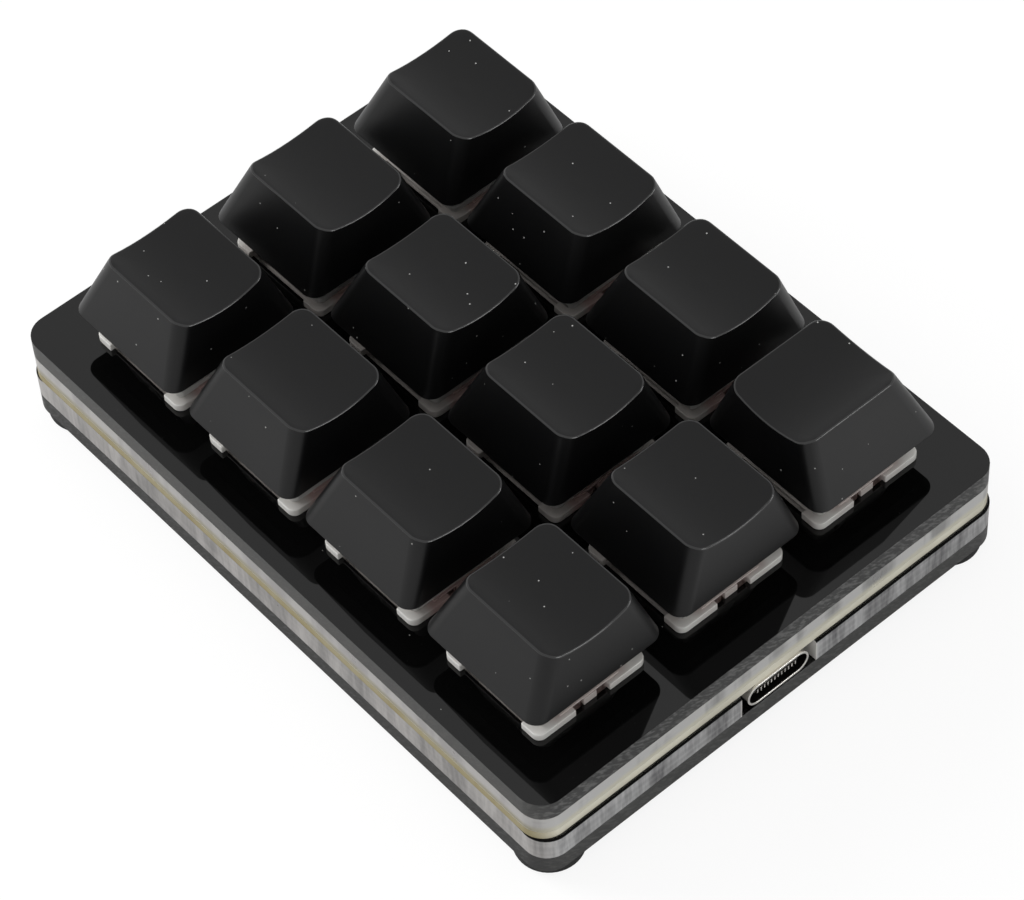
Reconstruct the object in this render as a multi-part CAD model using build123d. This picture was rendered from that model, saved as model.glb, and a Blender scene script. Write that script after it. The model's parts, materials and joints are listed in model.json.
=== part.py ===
from build123d import *
import os

# Macro keypad: twelve travelling keys on a case of stacked sheets, with a USB-C socket at the back.
# Millimetres, +Z up, +X to the right, +Y to the back, where the socket is.
# The origin lies on the desk, under the middle of the case.

# Key field
columns = 3
rows = 4
key_pitch = 20.0
key_travel = 4.0
side_reach = 13.4
end_reach = 14.2
turned_key = "r1c1"
quarter_turn = -90

# Case sheets, from the top down
corner_r = 3.0
top_plate_t = 2.6
upper_spacer_t = 2.4
board_t = 1.2
bottom_plate_t = 2.5
window_side_gap = 0.9
window_end_gap = 2.2
lower_ledge = 0.4

# Feet under the bottom plate
foot_d = 8.0
foot_h = 1.5
foot_edge = 0.5
foot_inset = 4.1

# Screws from below, which end blind in the top plate
screw_d = 2.0
screw_head_d = 3.8
screw_head_h = 1.3
screw_head_sink = 0.1
screw_bite = 1.4
screw_tip_gap = 0.2
screw_play = 0.1

# USB-C socket under the back edge of the board
usb_w = 8.94
usb_h = 3.2
usb_wall = 0.3
usb_depth = 7.3
usb_overhang = 0.3
usb_floor_gap = 0.1
usb_notch_play = 0.95
tongue_w = 6.7
tongue_t = 0.7
tongue_setback = 0.6
tongue_root = 2.0
tongue_play = 0.05
contact_count = 12
contact_pitch = 0.5
contact_w = 0.25
contact_t = 0.1

# Switch base: flange on the plate, body in the cut-out, post and pins through the board
cutout_w = 14.0
cutout_play = 0.05
flange_reach = 0.6
flange_t = 1.0
flange_corner_r = 1.0
latch_w = 1.3
latch_tab_w = 2.1
latch_setback = 0.35
clip_recess_l = 9.7
recess_lip_t = 0.3
recess_in = 0.7
recess_drop = 0.8
clip_w = 3.6
clip_h = 1.5
clip_out = 0.4
clip_gap = 0.1
base_wall = 1.2
base_floor_t = 1.5
post_wall = 0.4
post_play = 0.1
solder_room = 1.2

# Switch cover: rim on the flange, tapered sides, opening for the stem
cover_h = 5.6
cover_rim_inset = 0.25
cover_rim_h = 0.8
cover_rim_ledge = 0.3
cover_top_reach = 1.0
cover_corner_r = 0.8
cover_wall = 0.8
cover_roof_t = 1.2

# Stem, with the cross that the keycap fits on and a pole inside its spring
cross_w = 4.0
cross_t = 1.2
cross_h = 3.6
platform_w = 6.8
platform_rise = 0.2
shoulder_ledge = 0.7
stem_wall = 0.55
stem_play = 0.3
stem_crown_t = 0.9
stop_gap = 0.1
bottom_gap = 0.2
pole_d = 2.6
pole_play = 0.3
pole_entry = 0.4

# Spring, drawn as the sleeve that its coils fill
spring_wire = 0.4
spring_play = 0.25
spring_gap = 0.05

# Contact strips in each switch, with pins on the usual grid
pin_grid = 1.27
strip_w = 1.2
strip_t = 0.4
strip_play = 0.08
pin_play = 0.12
blade_gap = 0.4
blade_rise = 1.2

# Keycap: square foot, narrower top set back, hollow along its length
cap_gap = 2.0
cap_corner_r = 1.8
cap_top_w = 12.0
cap_top_l = 13.9
cap_back_shift = 1.3
cap_wall = 1.4
cap_roof_t = 1.4
cap_rim_gap = 0.4
cap_roof_gap = 0.6
dish_sag = 1.2
dish_land = 0.25
socket_margin = 0.05
socket_play = 0.04
socket_tip_gap = 0.3

# Small parts on the underside of the board
chip_w = 7.0
chip_t = 1.0
chip_corner_r = 0.4
diode_l = 2.6
diode_w = 1.6
diode_t = 1.1
capacitor_l = 1.6
capacitor_w = 0.8
capacitor_t = 0.8
capacitor_gap = 1.2
resistor_l = 1.6
resistor_w = 0.8
resistor_t = 0.5
resistor_gap = 1.5
resistor_setback = 1.1

# One overrun serves all cuts
overrun = 1.0

# Sizes worked out from the above
case_w = (columns - 1) * key_pitch + 2 * side_reach
case_l = (rows - 1) * key_pitch + 2 * end_reach
lower_l = case_l + 2 * lower_ledge
lower_spacer_t = usb_h + usb_floor_gap
window_w = (columns - 1) * key_pitch + cutout_w + 2 * window_side_gap
window_l = (rows - 1) * key_pitch + cutout_w + 2 * window_end_gap

bottom_plate_z = foot_h
lower_spacer_z = bottom_plate_z + bottom_plate_t
board_z = lower_spacer_z + lower_spacer_t
upper_spacer_z = board_z + board_t
top_plate_z = upper_spacer_z + upper_spacer_t
deck_z = top_plate_z + top_plate_t

screw_hole_d = screw_d + 2 * screw_play
screw_tip_z = top_plate_z + screw_bite
usb_front_y = case_l / 2 + usb_overhang
usb_axis_z = board_z - usb_h / 2
chip_x = key_pitch / 2
chip_y = (rows - 2) / 2 * key_pitch

# Heights inside a key, counted from the deck
seat_depth = top_plate_t + upper_spacer_t
floor_z = base_floor_t - seat_depth
pin_end_z = solder_room - seat_depth - board_t - lower_spacer_t
cover_top_z = flange_t + cover_h
roof_under_z = cover_top_z - cover_roof_t
platform_top_z = cover_top_z + platform_rise
shoulder_top_z = roof_under_z - stop_gap
stem_bottom_z = floor_z + key_travel + bottom_gap
spring_seat_z = shoulder_top_z - stem_crown_t
cap_rim_z = flange_t + key_travel + cap_rim_gap
cap_roof_z = cover_top_z + key_travel + cap_roof_gap
cap_h = cap_roof_z + cap_roof_t + dish_sag - cap_rim_z

# Widths inside a key
flange_w = cutout_w + 2 * flange_reach
body_w = cutout_w - 2 * cutout_play
pocket_w = body_w - 2 * base_wall
spring_id = pole_d + 2 * pole_play
post_d = spring_id + 2 * post_wall
spring_od = spring_id + 2 * spring_wire
spring_room_w = spring_od + 2 * spring_play
platform_l = spring_room_w + 2 * stem_wall
shoulder_w = platform_w + 2 * shoulder_ledge
socket_d = platform_l - 2 * socket_margin
cover_rim_w = body_w - 2 * cover_rim_inset
cover_body_w = cover_rim_w - 2 * cover_rim_ledge
cover_top_w = shoulder_w + 2 * cover_top_reach
cap_base_w = key_pitch - cap_gap


def key_places():
    """Name, place and turn of every key, from the back left to the front right."""
    places = []
    for row in range(rows):
        for column in range(columns):
            name = f"r{row + 1}c{column + 1}"
            x = (column - (columns - 1) / 2) * key_pitch
            y = ((rows - 1) / 2 - row) * key_pitch
            turn = quarter_turn if name == turned_key else 0
            places.append((name, x, y, turn))
    return places


def at_keys(shape):
    """A copy of a switch piece at every key, with its zero height on the deck."""
    return [Pos(x, y, deck_z) * shape for _, x, y, _ in key_places()]


def block(width, length, height, z=0):
    """Box centred in plan that stands on height z."""
    return Pos(0, 0, z) * Box(width, length, height, align=(Align.CENTER, Align.CENTER, Align.MIN))


def rod(diameter, height, z=0):
    """Upright cylinder that stands on height z."""
    standing = (Align.CENTER, Align.CENTER, Align.MIN)
    return Pos(0, 0, z) * Cylinder(diameter / 2, height, align=standing)


def sheet(length, thickness, z):
    """Case sheet with round corners that lies on height z."""
    return Pos(0, 0, z) * extrude(RectangleRounded(case_w, length, corner_r), thickness)


def tapered(base_w, base_l, top_w, top_l, height, shift):
    """Block with sides that lean in to a smaller top, which is set back by the given shift."""
    front = Polyline(
        (-base_w / 2, 0),
        (base_w / 2, 0),
        (top_w / 2, height),
        (-top_w / 2, height),
        close=True,
    )
    side = Polyline(
        (-base_l / 2, 0),
        (base_l / 2, 0),
        (shift + top_l / 2, height),
        (shift - top_l / 2, height),
        close=True,
    )
    across = extrude(Plane.XZ * make_face(front), base_l, both=True)
    along = extrude(Plane.YZ * make_face(side), base_w, both=True)
    return across & along


def round_sides(part, radius):
    """The tapered block with its four leaning edges rounded."""
    return fillet(part.edges().group_by(Axis.Z)[1], radius)


def foot_places():
    """Feet set in from the corners of the bottom plate."""
    x = case_w / 2 - foot_inset
    y = lower_l / 2 - foot_inset
    return [(-x, -y), (x, -y), (-x, y), (x, y)]


def screw_places():
    """Screws in the middle of the side walls, level with the gaps between the outer rows."""
    x = (case_w + window_w) / 4
    y = (rows - 2) / 2 * key_pitch
    return [(-x, -y), (x, -y), (-x, y), (x, y)]


def drill(part, places, diameter, z, depth):
    """The part with upright holes from height z up."""
    for x, y in places:
        part -= Pos(x, y) * rod(diameter, depth, z)
    return part


def top_plate():
    """Deck sheet with a square cut-out for each switch and blind holes for the screws."""
    part = sheet(case_l, top_plate_t, top_plate_z)
    for _, x, y, _ in key_places():
        part -= Pos(x, y) * block(cutout_w, cutout_w, top_plate_t + 2 * overrun, top_plate_z - overrun)
    return drill(part, screw_places(), screw_hole_d, top_plate_z, screw_bite + screw_tip_gap)


def spacer(length, thickness, z):
    """Clear frame with one large window round the switches and holes for the screws."""
    part = sheet(length, thickness, z)
    part -= block(window_w, window_l, thickness + 2 * overrun, z - overrun)
    return drill(part, screw_places(), screw_hole_d, z - overrun, thickness + 2 * overrun)


def upper_spacer():
    """Clear frame between the top plate and the board."""
    return spacer(case_l, upper_spacer_t, upper_spacer_z)


def lower_spacer():
    """Clear frame between the board and the bottom plate, open at the back for the socket."""
    part = spacer(lower_l, lower_spacer_t, lower_spacer_z)
    notch_w = usb_w + 2 * usb_notch_play
    notch_l = lower_l - window_l + 2 * overrun
    notch = block(notch_w, notch_l, lower_spacer_t + 2 * overrun, lower_spacer_z - overrun)
    return part - Pos(0, lower_l / 2) * notch


def circuit_board():
    """Board with holes for the switch posts and the screws, and slots for the contact pins."""
    part = sheet(case_l, board_t, board_z)
    depth = board_t + 2 * overrun
    start = board_z - overrun
    slot = block(strip_w + 2 * pin_play, strip_t + 2 * pin_play, depth, start)
    for _, x, y, _ in key_places():
        part = drill(part, [(x, y)], post_d + 2 * post_play, start, depth)
        for pin_x, pin_y in pin_places():
            part -= Pos(x + pin_x, y + pin_y) * slot
    return drill(part, screw_places(), screw_hole_d, start, depth)


def bottom_plate():
    """Lowest sheet, with sunk seats for the screw heads."""
    part = sheet(lower_l, bottom_plate_t, bottom_plate_z)
    start = bottom_plate_z - overrun
    part = drill(part, screw_places(), screw_hole_d, start, bottom_plate_t + 2 * overrun)
    seat_d = screw_head_d + 2 * screw_play
    return drill(part, screw_places(), seat_d, start, overrun + screw_head_sink + screw_head_h)


def rubber_feet():
    """Four round bumpers with a bevelled lower edge."""
    foot = rod(foot_d, foot_h)
    foot = chamfer(foot.edges().group_by(Axis.Z)[0], foot_edge)
    return [Pos(x, y) * foot for x, y in foot_places()]


def case_screws():
    """Four screws, each turned from one profile, with the head sunk in the bottom plate."""
    head_z = bottom_plate_z + screw_head_sink
    neck_z = head_z + screw_head_h
    with_axis = Polyline(
        (0, head_z),
        (screw_head_d / 2, head_z),
        (screw_head_d / 2, neck_z),
        (screw_d / 2, neck_z),
        (screw_d / 2, screw_tip_z - screw_d / 4),
        (screw_d / 4, screw_tip_z),
        (0, screw_tip_z),
        close=True,
    )
    screw = revolve(Plane.XZ * make_face(with_axis), Axis.Z)
    return [Pos(x, y) * screw for x, y in screw_places()]


def usb_prism(shrink, front_y, depth):
    """Stadium-section bar that runs forwards from front_y, smaller than the socket all round."""
    outline = SlotOverall(usb_w - 2 * shrink, usb_h - 2 * shrink)
    return Pos(0, front_y, usb_axis_z) * extrude(Plane.XZ * outline, depth)


def usb_shell():
    """Metal tube of the socket, fixed under the board."""
    bore = usb_prism(usb_wall, usb_front_y + overrun, usb_depth + 2 * overrun)
    return usb_prism(0, usb_front_y, usb_depth) - bore


def usb_tongue():
    """Insulator: a block that closes the tube's rear end, with a thin tongue towards the mouth."""
    rear_y = usb_front_y - usb_depth
    root = usb_prism(usb_wall + tongue_play, rear_y + tongue_root, tongue_root)
    tip_y = usb_front_y - tongue_setback
    tongue = Box(tongue_w, tip_y - rear_y, tongue_t, align=(Align.CENTER, Align.MAX, Align.CENTER))
    return root + Pos(0, tip_y, usb_axis_z) * tongue


def usb_contacts():
    """Contact strips on both faces of the tongue."""
    tip_y = usb_front_y - tongue_setback
    contact_l = tip_y - (usb_front_y - usb_depth + tongue_root)
    strips = []
    for face in (-1, 1):
        for number in range(contact_count):
            x = (number - (contact_count - 1) / 2) * contact_pitch
            z = usb_axis_z + face * (tongue_t + contact_t) / 2
            strip = Box(contact_w, contact_l, contact_t, align=(Align.CENTER, Align.MAX, Align.CENTER))
            strips.append(Pos(x, tip_y, z) * strip)
    return strips


def pin_places():
    """Places of the two contact pins from the middle of a switch, towards the front."""
    return [(3 * pin_grid, -2 * pin_grid), (-2 * pin_grid, -4 * pin_grid)]


def contact_strips(grow):
    """The two contact strips of a switch, thickened all round by the given amount."""
    half = strip_t / 2 + grow
    width = strip_w + 2 * grow
    (x1, y1), (x2, y2) = pin_places()
    blade_y = -platform_l / 2 - blade_gap - strip_t / 2
    jog_z = floor_z - base_floor_t / 2
    cranked = Polyline(
        (y1 + half, pin_end_z),
        (y1 + half, jog_z + half),
        (blade_y + half, jog_z + half),
        (blade_y + half, blade_rise),
        (blade_y - half, blade_rise),
        (blade_y - half, jog_z - half),
        (y1 - half, jog_z - half),
        (y1 - half, pin_end_z),
        close=True,
    )
    first = Pos(x1) * extrude(Plane.YZ * make_face(cranked), width / 2, both=True)
    second = Pos(x2, y2) * block(width, 2 * half, blade_rise - pin_end_z, pin_end_z)
    return [first, second]


def switch_base():
    """White lower half of a switch: flange with hollow recesses, clipped body, hollow post."""
    part = extrude(RectangleRounded(flange_w, flange_w, flange_corner_r), flange_t)
    edge = flange_w / 2
    depth = edge - body_w / 2
    cut_h = flange_t + 2 * overrun
    latch_room = block(latch_tab_w + 2 * latch_w, 2 * depth, cut_h, -overrun)
    latch_tab = block(latch_tab_w, 2 * (depth - latch_setback), flange_t)
    for side in (-1, 1):
        part -= Pos(0, side * edge) * latch_room
        part += Pos(0, side * body_w / 2) * latch_tab
        part -= Pos(side * edge) * block(2 * depth, clip_recess_l, cut_h, -overrun)
    part += block(body_w, body_w, seat_depth, -seat_depth)
    part += rod(post_d, -seat_depth - pin_end_z, pin_end_z)
    hollow_h = flange_t - recess_lip_t + recess_drop
    latch_hollow = block(latch_w, 2 * recess_in, hollow_h, -recess_drop)
    latch_x = (latch_tab_w + latch_w) / 2
    for side in (-1, 1):
        part -= Pos(side * body_w / 2) * block(2 * recess_in, clip_recess_l, hollow_h, -recess_drop)
        part -= Pos(latch_x, side * body_w / 2) * latch_hollow
        part -= Pos(-latch_x, side * body_w / 2) * latch_hollow
        part += side_clip(side)
    part -= block(pocket_w, pocket_w, flange_t - floor_z + overrun, floor_z)
    part -= rod(spring_id, floor_z - pin_end_z + 2 * overrun, pin_end_z - overrun)
    for strip in contact_strips(strip_play):
        part -= strip
    return part


def side_clip(side):
    """Sprung wedge under the top plate that holds a switch down."""
    root = body_w / 2
    tip = cutout_w / 2 + clip_out
    top = -top_plate_t - clip_gap
    wedge = Polyline(
        (side * (root - cutout_play), top),
        (side * tip, top),
        (side * root, top - clip_h),
        (side * (root - cutout_play), top - clip_h),
        close=True,
    )
    return extrude(Plane.XZ * make_face(wedge), clip_w / 2, both=True)


def switch_cover():
    """Milky upper half of a switch: rim, tapered shell and the opening for the stem."""
    rim_top_z = flange_t + cover_rim_h
    rim = extrude(RectangleRounded(cover_rim_w, cover_rim_w, cover_corner_r), cover_rim_h)
    shell = tapered(cover_body_w, cover_body_w, cover_top_w, cover_top_w, cover_top_z - rim_top_z, 0)
    part = Pos(0, 0, flange_t) * rim + Pos(0, 0, rim_top_z) * round_sides(shell, cover_corner_r)
    inner_h = roof_under_z - rim_top_z
    roof_share = inner_h / (cover_top_z - rim_top_z)
    inner_w = cover_body_w - 2 * cover_wall
    roof_w = inner_w + (cover_top_w - cover_body_w) * roof_share
    part -= Pos(0, 0, rim_top_z) * tapered(inner_w, inner_w, roof_w, roof_w, inner_h, 0)
    part -= block(inner_w, inner_w, cover_rim_h + overrun, flange_t - overrun)
    opening_w = platform_w + 2 * stem_play
    opening_l = platform_l + 2 * stem_play
    return part - block(opening_w, opening_l, cover_roof_t + 2 * overrun, roof_under_z - overrun)


def cross_bars(grow, height, z):
    """The two crossed bars of a stem's tip."""
    long_side = cross_w + 2 * grow
    short_side = cross_t + 2 * grow
    return block(long_side, short_side, height, z) + block(short_side, long_side, height, z)


def stem():
    """Slider with shoulders that stop under the cover, a spring pocket, a pole and the crossed tip."""
    part = block(shoulder_w, platform_l, shoulder_top_z - stem_bottom_z, stem_bottom_z)
    part += block(platform_w, platform_l, platform_top_z - shoulder_top_z, shoulder_top_z)
    part += cross_bars(0, cross_h, platform_top_z)
    pocket_h = spring_seat_z - stem_bottom_z + overrun
    part -= block(spring_room_w, spring_room_w, pocket_h, stem_bottom_z - overrun)
    tip_z = floor_z - pole_entry
    return part + rod(pole_d, spring_seat_z - tip_z, tip_z)


def spring():
    """Sleeve of the coil spring between the base's floor and the stem."""
    length = spring_seat_z - spring_gap - floor_z
    return rod(spring_od, length, floor_z) - rod(spring_id, length + 2 * overrun, floor_z - overrun)


def keycap():
    """Sculpted cap: tapered hollow shell, dished along its length, with a cross socket inside."""
    solid = tapered(cap_base_w, cap_base_w, cap_top_w, cap_top_l, cap_h, cap_back_shift)
    part = round_sides(solid, cap_corner_r)

    dish_w = cap_top_w - 2 * dish_land
    dish_r = dish_w ** 2 / (8 * dish_sag) + dish_sag / 2
    dish = Rot(90, 0, 0) * Cylinder(dish_r, cap_base_w + 2 * overrun)
    part -= Pos(0, 0, cap_h - dish_sag + dish_r) * dish

    roof_h = cap_roof_z - cap_rim_z
    roof_share = roof_h / cap_h
    inner_w = cap_base_w - 2 * cap_wall
    roof_w = inner_w + (cap_top_w - cap_base_w) * roof_share
    roof_l = inner_w + (cap_top_l - cap_base_w) * roof_share
    part -= tapered(inner_w, inner_w, roof_w, roof_l, roof_h, cap_back_shift * roof_share)

    socket_z = platform_top_z - cap_rim_z
    part += rod(socket_d, cap_h - dish_sag - cap_roof_t / 2 - socket_z, socket_z)
    part -= cross_bars(socket_play, cross_h + socket_tip_gap + overrun, socket_z - overrun)
    return Pos(0, 0, cap_rim_z) * part


def under_board(width, length, height):
    """Small part fixed to the underside of the board."""
    return block(width, length, height, board_z - height)


def controller_chip():
    """Controller in the gap between two columns and two rows."""
    outline = extrude(RectangleRounded(chip_w, chip_w, chip_corner_r), chip_t)
    return Pos(chip_x, chip_y, board_z - chip_t) * outline


def diodes():
    """One diode under the front edge of each cut-out."""
    diode = under_board(diode_l, diode_w, diode_t)
    return [Pos(x, y - cutout_w / 2) * diode for _, x, y, _ in key_places()]


def capacitors():
    """A capacitor beside each edge of the controller."""
    reach = chip_w / 2 + capacitor_gap + capacitor_w / 2
    across = under_board(capacitor_l, capacitor_w, capacitor_t)
    along = under_board(capacitor_w, capacitor_l, capacitor_t)
    sides = [Pos(chip_x, chip_y + side * reach) * across for side in (-1, 1)]
    return sides + [Pos(chip_x + side * reach, chip_y) * along for side in (-1, 1)]


def resistors():
    """A resistor on each side of the USB-C socket, inside the window."""
    x = usb_w / 2 + resistor_gap + resistor_w / 2
    y = window_l / 2 - resistor_setback - resistor_l / 2
    resistor = under_board(resistor_w, resistor_l, resistor_t)
    return [Pos(side * x, y) * resistor for side in (-1, 1)]


def switch_contacts():
    """Both contact strips of every switch."""
    return [place for strip in contact_strips(0) for place in at_keys(strip)]


def save(node, shape):
    """Writes one node: a single solid, or a group of like solids."""
    if isinstance(shape, list):
        shape = Compound(shape)
    export_step(shape, f"parts/{node}.step")


def main():
    """Builds every node and writes it."""
    os.makedirs("parts", exist_ok=True)
    save("top_plate", top_plate())
    save("upper_spacer", upper_spacer())
    save("circuit_board", circuit_board())
    save("lower_spacer", lower_spacer())
    save("bottom_plate", bottom_plate())
    save("rubber_feet", rubber_feet())
    save("case_screws", case_screws())
    save("usb_shell", usb_shell())
    save("usb_tongue", usb_tongue())
    save("usb_contacts", usb_contacts())
    save("controller_chip", controller_chip())
    save("diodes", diodes())
    save("capacitors", capacitors())
    save("resistors", resistors())
    save("switch_bases", at_keys(switch_base()))
    save("switch_covers", at_keys(switch_cover()))
    save("switch_contacts", switch_contacts())

    cap = keycap()
    slider = stem()
    coil = spring()
    for name, x, y, turn in key_places():
        place = Pos(x, y, deck_z)
        save(f"keycap_{name}", place * Rot(0, 0, turn) * cap)
        save(f"stem_{name}", place * slider)
        save(f"spring_{name}", place * coil)


main()
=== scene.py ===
"""Macro keypad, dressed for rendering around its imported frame.

The frame gives every place. Sizes in the classes are millimetres and become metres through MM when a mesh is made.
"""
import json
import logging
import math
from dataclasses import dataclass, field, replace
from enum import Enum
from functools import cache, cached_property
from typing import Any, Sequence

import bmesh
import bpy
from mathutils import Matrix, Vector

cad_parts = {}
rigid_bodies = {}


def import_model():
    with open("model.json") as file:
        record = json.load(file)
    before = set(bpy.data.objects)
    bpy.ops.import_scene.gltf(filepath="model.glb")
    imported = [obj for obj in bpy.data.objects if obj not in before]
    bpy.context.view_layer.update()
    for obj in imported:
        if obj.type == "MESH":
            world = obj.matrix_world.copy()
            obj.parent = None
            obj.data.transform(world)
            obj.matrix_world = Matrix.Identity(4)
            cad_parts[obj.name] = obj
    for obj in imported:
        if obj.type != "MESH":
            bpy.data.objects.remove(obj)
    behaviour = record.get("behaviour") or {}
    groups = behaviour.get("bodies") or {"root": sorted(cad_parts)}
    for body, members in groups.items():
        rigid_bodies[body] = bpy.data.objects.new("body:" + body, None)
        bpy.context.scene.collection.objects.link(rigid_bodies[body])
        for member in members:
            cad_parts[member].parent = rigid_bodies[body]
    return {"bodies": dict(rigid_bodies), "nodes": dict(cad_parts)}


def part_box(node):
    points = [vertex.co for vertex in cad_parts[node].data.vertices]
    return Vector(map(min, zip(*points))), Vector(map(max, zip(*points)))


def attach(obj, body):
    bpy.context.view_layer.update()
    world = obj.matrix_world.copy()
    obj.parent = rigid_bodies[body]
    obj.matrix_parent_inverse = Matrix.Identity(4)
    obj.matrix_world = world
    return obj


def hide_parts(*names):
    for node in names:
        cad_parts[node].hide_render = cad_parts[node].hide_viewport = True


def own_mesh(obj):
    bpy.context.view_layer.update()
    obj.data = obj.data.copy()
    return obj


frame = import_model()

MM = 0.001
CASE = "case"
# Edges over the first angle are sharp, and faces under the second one are flat.
SHARP_ANGLE = math.radians(38)
FLAT_ANGLE = math.radians(1)
WELD = 0.001 * MM
# Rise of a face's normal under which the face is upright.
STEEP = 0.5
# Points on roundings, corners, holes and coils.
EDGE_STEPS = 3
CORNER_STEPS = 10
OPENING_STEPS = 8
HOLE_POINTS = 28
COIL_POINTS = 24
WIRE_POINTS = 10
KEY_SIDES = 6
ROUND_PROFILE = 0.5
PLACE_DIGITS = 6
# Detail of the noises.
FINE_DETAIL = 2.0
MARK_DETAIL = 3.0
TONE_DETAIL = 4.0
LAYER_SCALE = (0.06, 0.06, 6.0)
# Numbers of the mix node's colour sockets.
MIX_LOW, MIX_HIGH, MIX_RESULT = 6, 7, 2
ACRYLIC_IOR = 1.49
WHITE = (1.0, 1.0, 1.0)

Flat = tuple[float, float]
Point = tuple[float, float, float]
Colour = tuple[float, float, float]

log = logging.getLogger("keypad")


class Nodes:
    """A node tree under construction."""

    def __init__(self, tree: bpy.types.NodeTree) -> None:
        """Takes the tree to add to."""
        self.tree = tree

    def fill(self, socket: bpy.types.NodeSocket, value: Any) -> None:
        """Gives an input its source or constant.

        Args:
            socket: The input.
            value: Source socket or constant. A colour has three numbers.
        """
        if isinstance(value, bpy.types.NodeSocket):
            self.tree.links.new(value, socket)
        else:
            socket.default_value = (*value, 1.0) if socket.type == "RGBA" else value

    def node(self, kind: str, inputs: dict[Any, Any] | None = None, **settings: Any) -> Any:
        """Adds a node, sets its options and fills its inputs.

        Args:
            kind: Node type.
            inputs: Constants or source sockets by input name or number.
            settings: Options of the node.

        Returns:
            The new node.
        """
        node = self.tree.nodes.new(kind)
        for option, value in settings.items():
            setattr(node, option, value)
        for key, value in (inputs or {}).items():
            self.fill(node.inputs[key], value)
        return node

    def add(self, kind: str, inputs: dict[Any, Any] | None = None, **settings: Any) -> Any:
        """Adds a node in the same way and returns its first output."""
        return self.node(kind, inputs, **settings).outputs[0]

    def spread(self, source: Any, low: Any, high: Any, start: float = 0.3, stop: float = 0.7) -> Any:
        """Maps a value's usual range, from start to stop, onto the one from low to high."""
        return self.add("ShaderNodeMapRange", {"Value": source, "From Min": start, "From Max": stop,
                                               "To Min": low, "To Max": high})

    def blend(self, mask: Any, low: Any, high: Any) -> Any:
        """Mixes two colours, by the share of the second one."""
        return self.node("ShaderNodeMix", {"Factor": mask, MIX_LOW: low, MIX_HIGH: high},
                         data_type="RGBA").outputs[MIX_RESULT]

    def combine(self, operation: str, *sources: Any) -> Any:
        """Works out a value from others, by an operation of the math node."""
        return self.add("ShaderNodeMath", dict(enumerate(sources)), operation=operation)


class Graph(Nodes):
    """A node group under construction, for geometry or for shading."""

    def __init__(self, name: str, kind: str) -> None:
        """Starts an empty group with its input and output nodes.

        Args:
            name: Name of the group.
            kind: GeometryNodeTree or ShaderNodeTree.
        """
        super().__init__(bpy.data.node_groups.new(name, kind))
        self.start = self.tree.nodes.new("NodeGroupInput")
        self.end = self.tree.nodes.new("NodeGroupOutput")

    def take(self, name: str, kind: str = "Float", default: Any = None) -> Any:
        """Adds a named input.

        Args:
            name: Name of the input.
            kind: Socket type, without its NodeSocket prefix.
            default: Value that the input starts with.

        Returns:
            The socket to link from.
        """
        item = self.tree.interface.new_socket(name=name, in_out="INPUT", socket_type="NodeSocket" + kind)
        if default is not None:
            item.default_value = default
        return self.start.outputs[name]

    def give(self, name: str, source: Any, kind: str = "Float") -> None:
        """Adds a named output and links it to a source socket."""
        self.tree.interface.new_socket(name=name, in_out="OUTPUT", socket_type="NodeSocket" + kind)
        self.tree.links.new(source, self.end.inputs[name])


class GeometryGraph(Graph):
    """A geometry tree under construction, whose first input is a piece's own mesh."""

    def __init__(self, name: str) -> None:
        """Starts the tree with its first input."""
        super().__init__(name, "GeometryNodeTree")
        self.mesh = self.take("Geometry", "Geometry")

    def join(self, *parts: Any) -> Any:
        """Joins geometries.

        Args:
            parts: Sockets with the geometries.

        Returns:
            The socket with all of them.
        """
        node = self.node("GeometryNodeJoinGeometry")
        for part in parts:
            self.tree.links.new(part, node.inputs[0])
        return node.outputs[0]

    def rounded(self, width: Any, length: Any, radius: Any, steps: int) -> Any:
        """Rounded rectangle as a curve, with some points on each corner."""
        plain = self.add("GeometryNodeCurvePrimitiveQuadrilateral", {"Width": width, "Height": length})
        return self.add("GeometryNodeFilletCurve", {"Curve": plain, "Count": steps, "Radius": radius,
                                                    "Limit Radius": True}, mode="POLY")

    def lattice(self, master: Any, prefix: str = "", columns: int = 1) -> Any:
        """Repeats a geometry in rows and columns, which become inputs.

        Args:
            master: Socket with the geometry.
            prefix: Word before the inputs' names.
            columns: Number of columns that the input starts with.

        Returns:
            The socket with the copies as real geometry.
        """
        column_count = self.take(prefix + "Columns", "Int", columns)
        row_count = self.take(prefix + "Rows", "Int", 1)
        first, column_step, row_step = (
            self.take(prefix + name, "Vector") for name in ("First Place", "Column Step", "Row Step"))
        across = self.add("GeometryNodeMeshLine", {"Count": column_count, "Start Location": first,
                                                   "Offset": column_step})
        along = self.add("GeometryNodeMeshLine", {"Count": row_count, "Offset": row_step})
        lines = self.add("GeometryNodeInstanceOnPoints", {"Points": across, "Instance": along})
        spots = self.add("GeometryNodeRealizeInstances", {"Geometry": lines})
        copies = self.add("GeometryNodeInstanceOnPoints", {"Points": spots, "Instance": master})
        return self.add("GeometryNodeRealizeInstances", {"Geometry": copies})

    def dress(self, geometry: Any, finish: str = "Material", where: Any = True) -> Any:
        """Puts a material, which becomes an input with the finish's name, on all or some faces."""
        return self.add("GeometryNodeSetMaterial", {"Geometry": geometry, "Selection": where,
                                                    "Material": self.take(finish, "Material")})


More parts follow.
